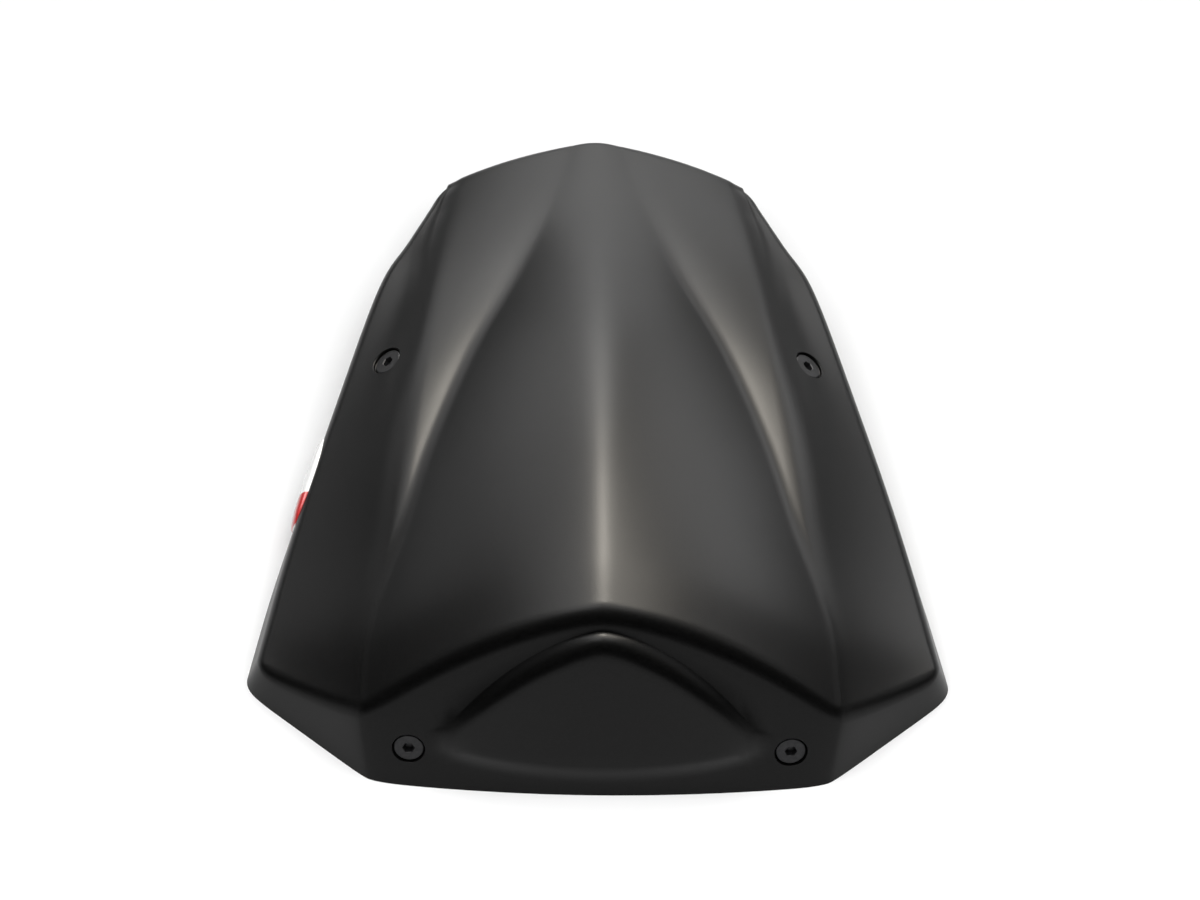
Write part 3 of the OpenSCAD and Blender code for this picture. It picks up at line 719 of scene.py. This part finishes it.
MATERIALS = {
    "shell_plastic": shell_plastic(),
    "screw_black": coated_steel("screw_black", (0.012, 0.012, 0.013), (0.022, 0.022, 0.023), 0.36),
    "plate_steel": coated_steel("plate_steel", (0.016, 0.016, 0.017), (0.028, 0.028, 0.03), 0.5),
    "zinc_steel": zinc_steel(),
    "rubber": rubber(),
    "badge_gel": badge_gel(),
}


def dress(obj, mat):
    obj.data.materials.clear()
    obj.data.materials.append(mat)


def dress_nodes():
    """Gives each solid that stays its material; the shell and the screws have pieces of their own."""
    slots = {row["node"]: row["material_slot"] for row in frame["record"]["subparts"]}
    for node, slot in slots.items():
        if node == "cowl_shell" or "_screw_" in node:
            continue
        for obj in bpy.data.objects:
            if obj.name == node and obj.type == "MESH":
                dress(obj, MATERIALS[slot])


# Camera, floor and lights

# The photo's camera. Turn and roll were fitted to the photo, elevation and distance were assumed.
PHOTO_WIDTH_PX = 1200
SENSOR_WIDTH = 36
ELEVATION = 50.0
AZIMUTH = 2.19
ROLL = 2.28
DISTANCE = 3.0
FOCAL_PX = 7574.0
LOOK_AT = placed([0.0, 130.0, 55.0])


def make_camera():
    a, e, r = radians(AZIMUTH), radians(ELEVATION), radians(ROLL)
    ahead = Vector((sin(a) * cos(e), cos(a) * cos(e), -sin(e)))
    right = Vector((cos(a), -sin(a), 0))
    up = right.cross(ahead)
    right, up = cos(r) * right + sin(r) * up, -sin(r) * right + cos(r) * up
    camera = bpy.data.cameras.new("camera")
    camera.sensor_width = SENSOR_WIDTH
    camera.lens = FOCAL_PX / PHOTO_WIDTH_PX * SENSOR_WIDTH
    camera.clip_end = 20
    obj = bpy.data.objects.new("camera", camera)
    at = Vector(LOOK_AT) - DISTANCE * ahead
    obj.matrix_world = Matrix.Translation(at) @ Matrix((right, up, -ahead)).transposed().to_4x4()
    bpy.context.scene.collection.objects.link(obj)
    bpy.context.scene.camera = obj


def make_floor():
    half = 3.0
    corners = [(-half, -half, 0), (half, -half, 0), (half, half, 0), (-half, half, 0)]
    floor = new_object("floor", corners, [(0, 1, 2, 3)])
    mat, nodes, links, bsdf = material("floor")
    bsdf.inputs["Base Color"].default_value = (0.86, 0.86, 0.86, 1)
    bsdf.inputs["Roughness"].default_value = 0.9
    bsdf.inputs["Specular IOR Level"].default_value = 0.0
    dress(floor, mat)


def soft_light(name, azimuth, elevation, distance, size_x, size_y, power, tint=(1, 1, 1), gloss=True):
    """A soft rectangle that faces the object; azimuth 0 is behind the tail."""
    a, e = radians(azimuth), radians(elevation)
    way = Vector((sin(a) * cos(e), cos(a) * cos(e), sin(e)))
    light = bpy.data.lights.new(name, "AREA")
    light.shape = "RECTANGLE"
    light.size = size_x
    light.size_y = size_y
    light.energy = power
    light.color = tint
    obj = bpy.data.objects.new(name, light)
    obj.location = Vector((0, 0, 0.04)) + way * distance
    obj.rotation_euler = way.to_track_quat("Z", "Y").to_euler()
    # The boxes that gloss the shell throw no shadow on the white floor, which the ceiling lights.
    obj.visible_glossy = gloss
    obj.visible_diffuse = not gloss
    bpy.context.scene.collection.objects.link(obj)


WARM = (1.0, 0.94, 0.84)


def make_light():
    """The powers began as a fit of one render per light to the photo and were then changed."""
    soft_light("ceiling", 180, 80, 2.6, 3.2, 3.2, 130, gloss=False)
    soft_light("streak_high", 1, 61, 1.8, 0.36, 0.6, 42, WARM)
    soft_light("streak_mid", 2, 50, 1.8, 0.45, 0.4, 12, WARM)
    soft_light("back_mid", 0, 34, 1.8, 0.8, 0.45, 13)
    soft_light("back_low", 5, 14, 1.8, 1.2, 0.5, 8)
    soft_light("right_high", 38, 56, 1.8, 0.9, 0.7, 27, WARM)
    soft_light("left_high", -38, 54, 1.8, 0.9, 0.7, 9.5)
    soft_light("right_low", 42, 26, 1.8, 0.9, 0.6, 9.5)
    soft_light("left_low", -30, 28, 1.8, 0.7, 0.6, 6)
    soft_light("over_right", 75, 74, 1.8, 0.8, 0.8, 9)
    soft_light("over_left", -75, 74, 1.8, 0.8, 0.8, 13)
    soft_light("far_right", 82, 34, 1.8, 0.8, 1.0, 3)
    soft_light("far_left", -80, 40, 1.8, 0.8, 1.0, 1.5)
    soft_light("side_left", -49, 19, 1.8, 0.45, 0.35, 1.5)
    soft_light("side_right", 50, 19, 1.8, 0.45, 0.35, 1.4)
    world = bpy.data.worlds.new("world")
    bpy.context.scene.world = world
    world.use_nodes = True
    world.node_tree.nodes["Background"].inputs["Color"].default_value = (1, 1, 1, 1)
    world.node_tree.nodes["Background"].inputs["Strength"].default_value = 0.0


SHELL = Shell()
dress(make_shell(), MATERIALS["shell_plastic"])
make_screws()
make_badge()
dress_nodes()
make_camera()
make_floor()
make_light()
bpy.context.scene.view_settings.view_transform = "Standard"
